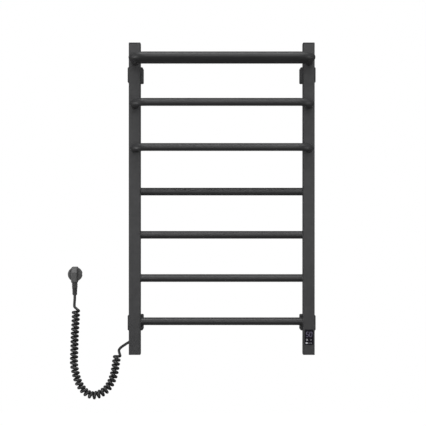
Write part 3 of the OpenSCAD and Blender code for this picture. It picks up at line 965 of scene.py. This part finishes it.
def add_plug_grip(piece, x, low_z, high_z, front, rear):
    """The grip across the disc: grooved sides, and a front that slopes back at its upper end."""
    foot, slope = low_z + GRIP_RISE, high_z - GRIP_SLOPE
    # Height, how far the sides are drawn in, how far the front stands back, and corner radius
    steps = [
        (foot, 3.4, 3.4, 2.4), (foot + 0.3, 1.8, 1.7, 2.8),
        (foot + 1, 0.7, 0.6, 3), (foot + 2.4, 0, 0, 3),
    ]
    for k in range(GRIP_GROOVES):
        groove = foot + 7 + 5 * k
        steps += [(groove, 0, 0, 3), (groove + 0.4, 0.8, 0, 2.6)]
        steps += [(groove + 1.2, 0.8, 0, 2.6), (groove + 1.6, 0, 0, 3)]
    steps += [
        (slope - 0.6, 0, 0, 3), (slope, 0, 0.2, 3), (high_z - 2.4, 0.2, 7.8, 2.6),
        (high_z - 1, 1, 9.2, 2.4), (high_z - 0.3, 2.4, 10.8, 2), (high_z, 4, 12.4, 1.6),
    ]
    rings = []
    for height, narrower, back, corner in steps:
        y_front = front + back
        outline = rounded_rect(GRIP_W - narrower, rear - y_front, corner)
        rings.append(at_z(outline, x, (y_front + rear) / 2, height))
    piece.loft(rings)


def make_plug():
    """An angled plug: a notched disc with a full rim, an upright grip and a grooved neck."""
    low, high = box_mm("plug_body")
    pin_low, pin_high = box_mm("plug_pins")
    x, _, z = middle_of(pin_low, pin_high)
    face_y = pin_low.y
    piece = Piece("angled_plug")
    add_plug_disc(piece, x, face_y, z, (high.x - low.x) / 2)
    add_plug_neck(piece, x, low.z)
    add_plug_grip(piece, x, low.z, high.z, low.y, face_y - 5)
    return piece.finish([FINISH["plug_plastic"]], "plug_plastic", "wall_side", replaced=("plug_body",))


def make_plug_boot():
    """The soft, ribbed boot below the plug's neck."""
    low, high = box_mm("plug_strain_relief")
    profile = ribbed(high.z - low.z, 6.7, 6.1, 4, 0.8)
    piece = Piece("plug_boot")
    piece.loft(turned(profile, ((low.x + high.x) / 2, CORD_Y, high.z), (0, 0, -1), sides=40))
    return piece.finish(
        [FINISH["soft_black_plastic"]], "soft_black_plastic", "wall_side",
        replaced=("plug_strain_relief",),
    )


def make_earth_clips():
    """Two sprung strips in the disc's upper and lower notches."""
    low, high = box_mm("plug_earth_clips")
    x, _, middle_z = middle_of(low, high)
    half_w = (high.x - low.x) / 2
    piece = Piece("earth_springs")
    for side in (-1, 1):
        rings = []
        for k in range(13):
            share = k / 12
            bow = 0.6 * math.sin(math.pi * share)
            y = low.y + (high.y - low.y) * share
            z = middle_z + side * ((high.z - low.z) / 2 - 0.65 + bow - CLIP_T / 2)
            rings.append(at_y(rounded_rect(2 * half_w, CLIP_T, 0.2, 2), x, y, z))
        piece.loft(rings)
    return piece.finish(
        [FINISH["nickel_plate"]], "nickel_plate", "wall_side", replaced=("plug_earth_clips",),
    )


plug = make_plug()
plug_boot = make_plug_boot()
earth_springs = make_earth_clips()


# ---- Floor, light and view, in metres ----

FLOOR_HALF = 6.0
FLOOR_HEIGHT = -1.6
FLOOR_GLOW = 0.9
EVEN_LIGHT = 0.09
AIM = (0, -0.06, 0)
SIDE_AIM = (0, -0.06, 0.2)
# Name, place, aim, width and height, and power in watts
LIGHTS = [
    ("front_softbox", (0, -4.05, 0.35), AIM, (2.5, 2.5), 32),
    ("top_front_strip", (-0.38, -1.86, 1.84), AIM, (2.6, 0.4), 10),
    ("top_strip", (-0.27, -1.33, 2.25), AIM, (2.6, 0.4), 21),
    ("top_rear_strip", (-0.14, -0.72, 2.51), AIM, (2.6, 0.4), 15),
    ("left_strip", (-2.5, -0.5, -0.6), SIDE_AIM, (0.6, 1.6), 17),
    ("right_strip", (2.5, -0.5, -0.6), SIDE_AIM, (0.6, 1.6), 11),
    ("right_top_strip", (1.45, -0.9, 1.99), AIM, (0.4, 0.8), 6),
    ("rear_softbox", (0.4, 3.1, 1.6), AIM, (1.6, 1.6), 80),
]
# This one fills the back of the object, and would glare along its upper faces in the front view
NO_GLOSS = ("rear_softbox",)


def make_floor():
    """A plain pale floor that neither lights the object nor shows in its gloss."""
    corners = [(-1, -1), (1, -1), (1, 1), (-1, 1)]
    mesh = bpy.data.meshes.new("floor")
    points = [(x * FLOOR_HALF, y * FLOOR_HALF, FLOOR_HEIGHT) for x, y in corners]
    mesh.from_pydata(points, [], [(0, 1, 2, 3)])
    floor = bpy.data.objects.new("floor", mesh)
    material, _, shader, _ = shade("floor_paint", (0.9, 0.9, 0.9), 0.8)
    shader.inputs["Emission Color"].default_value = (1, 1, 1, 1)
    shader.inputs["Emission Strength"].default_value = FLOOR_GLOW
    mesh.materials.append(material)
    scene.collection.objects.link(floor)
    floor.visible_diffuse = False
    floor.visible_glossy = False


def make_light(name, place, aim, size, power):
    """A rectangular area light that the camera doesn't see."""
    light = bpy.data.lights.new(name, "AREA")
    light.shape = "RECTANGLE"
    light.size, light.size_y = size
    light.energy = power
    lamp = bpy.data.objects.new(name, light)
    lamp.location = place
    lamp.rotation_euler = (Vector(aim) - Vector(place)).to_track_quat("-Z", "Y").to_euler()
    lamp.visible_camera = False
    lamp.visible_glossy = name not in NO_GLOSS
    scene.collection.objects.link(lamp)


def make_world():
    """White behind the object, and a dimmer even light on it."""
    world = bpy.data.worlds.new("studio")
    world.use_nodes = True
    tree = world.node_tree
    tree.nodes.clear()
    white = tree.nodes.new("ShaderNodeBackground")
    white.inputs["Color"].default_value = (1, 1, 1, 1)
    white.inputs["Strength"].default_value = 1.0
    even = tree.nodes.new("ShaderNodeBackground")
    even.inputs["Color"].default_value = (1, 1, 1, 1)
    even.inputs["Strength"].default_value = EVEN_LIGHT
    path = tree.nodes.new("ShaderNodeLightPath")
    mix = tree.nodes.new("ShaderNodeMixShader")
    out = tree.nodes.new("ShaderNodeOutputWorld")
    tree.links.new(path.outputs["Is Camera Ray"], mix.inputs["Fac"])
    tree.links.new(even.outputs["Background"], mix.inputs[1])
    tree.links.new(white.outputs["Background"], mix.inputs[2])
    tree.links.new(mix.outputs["Shader"], out.inputs["Surface"])
    scene.world = world


make_floor()
for light_row in LIGHTS:
    make_light(*light_row)
make_world()
scene.view_settings.view_transform = "Standard"
scene.view_settings.look = "None"
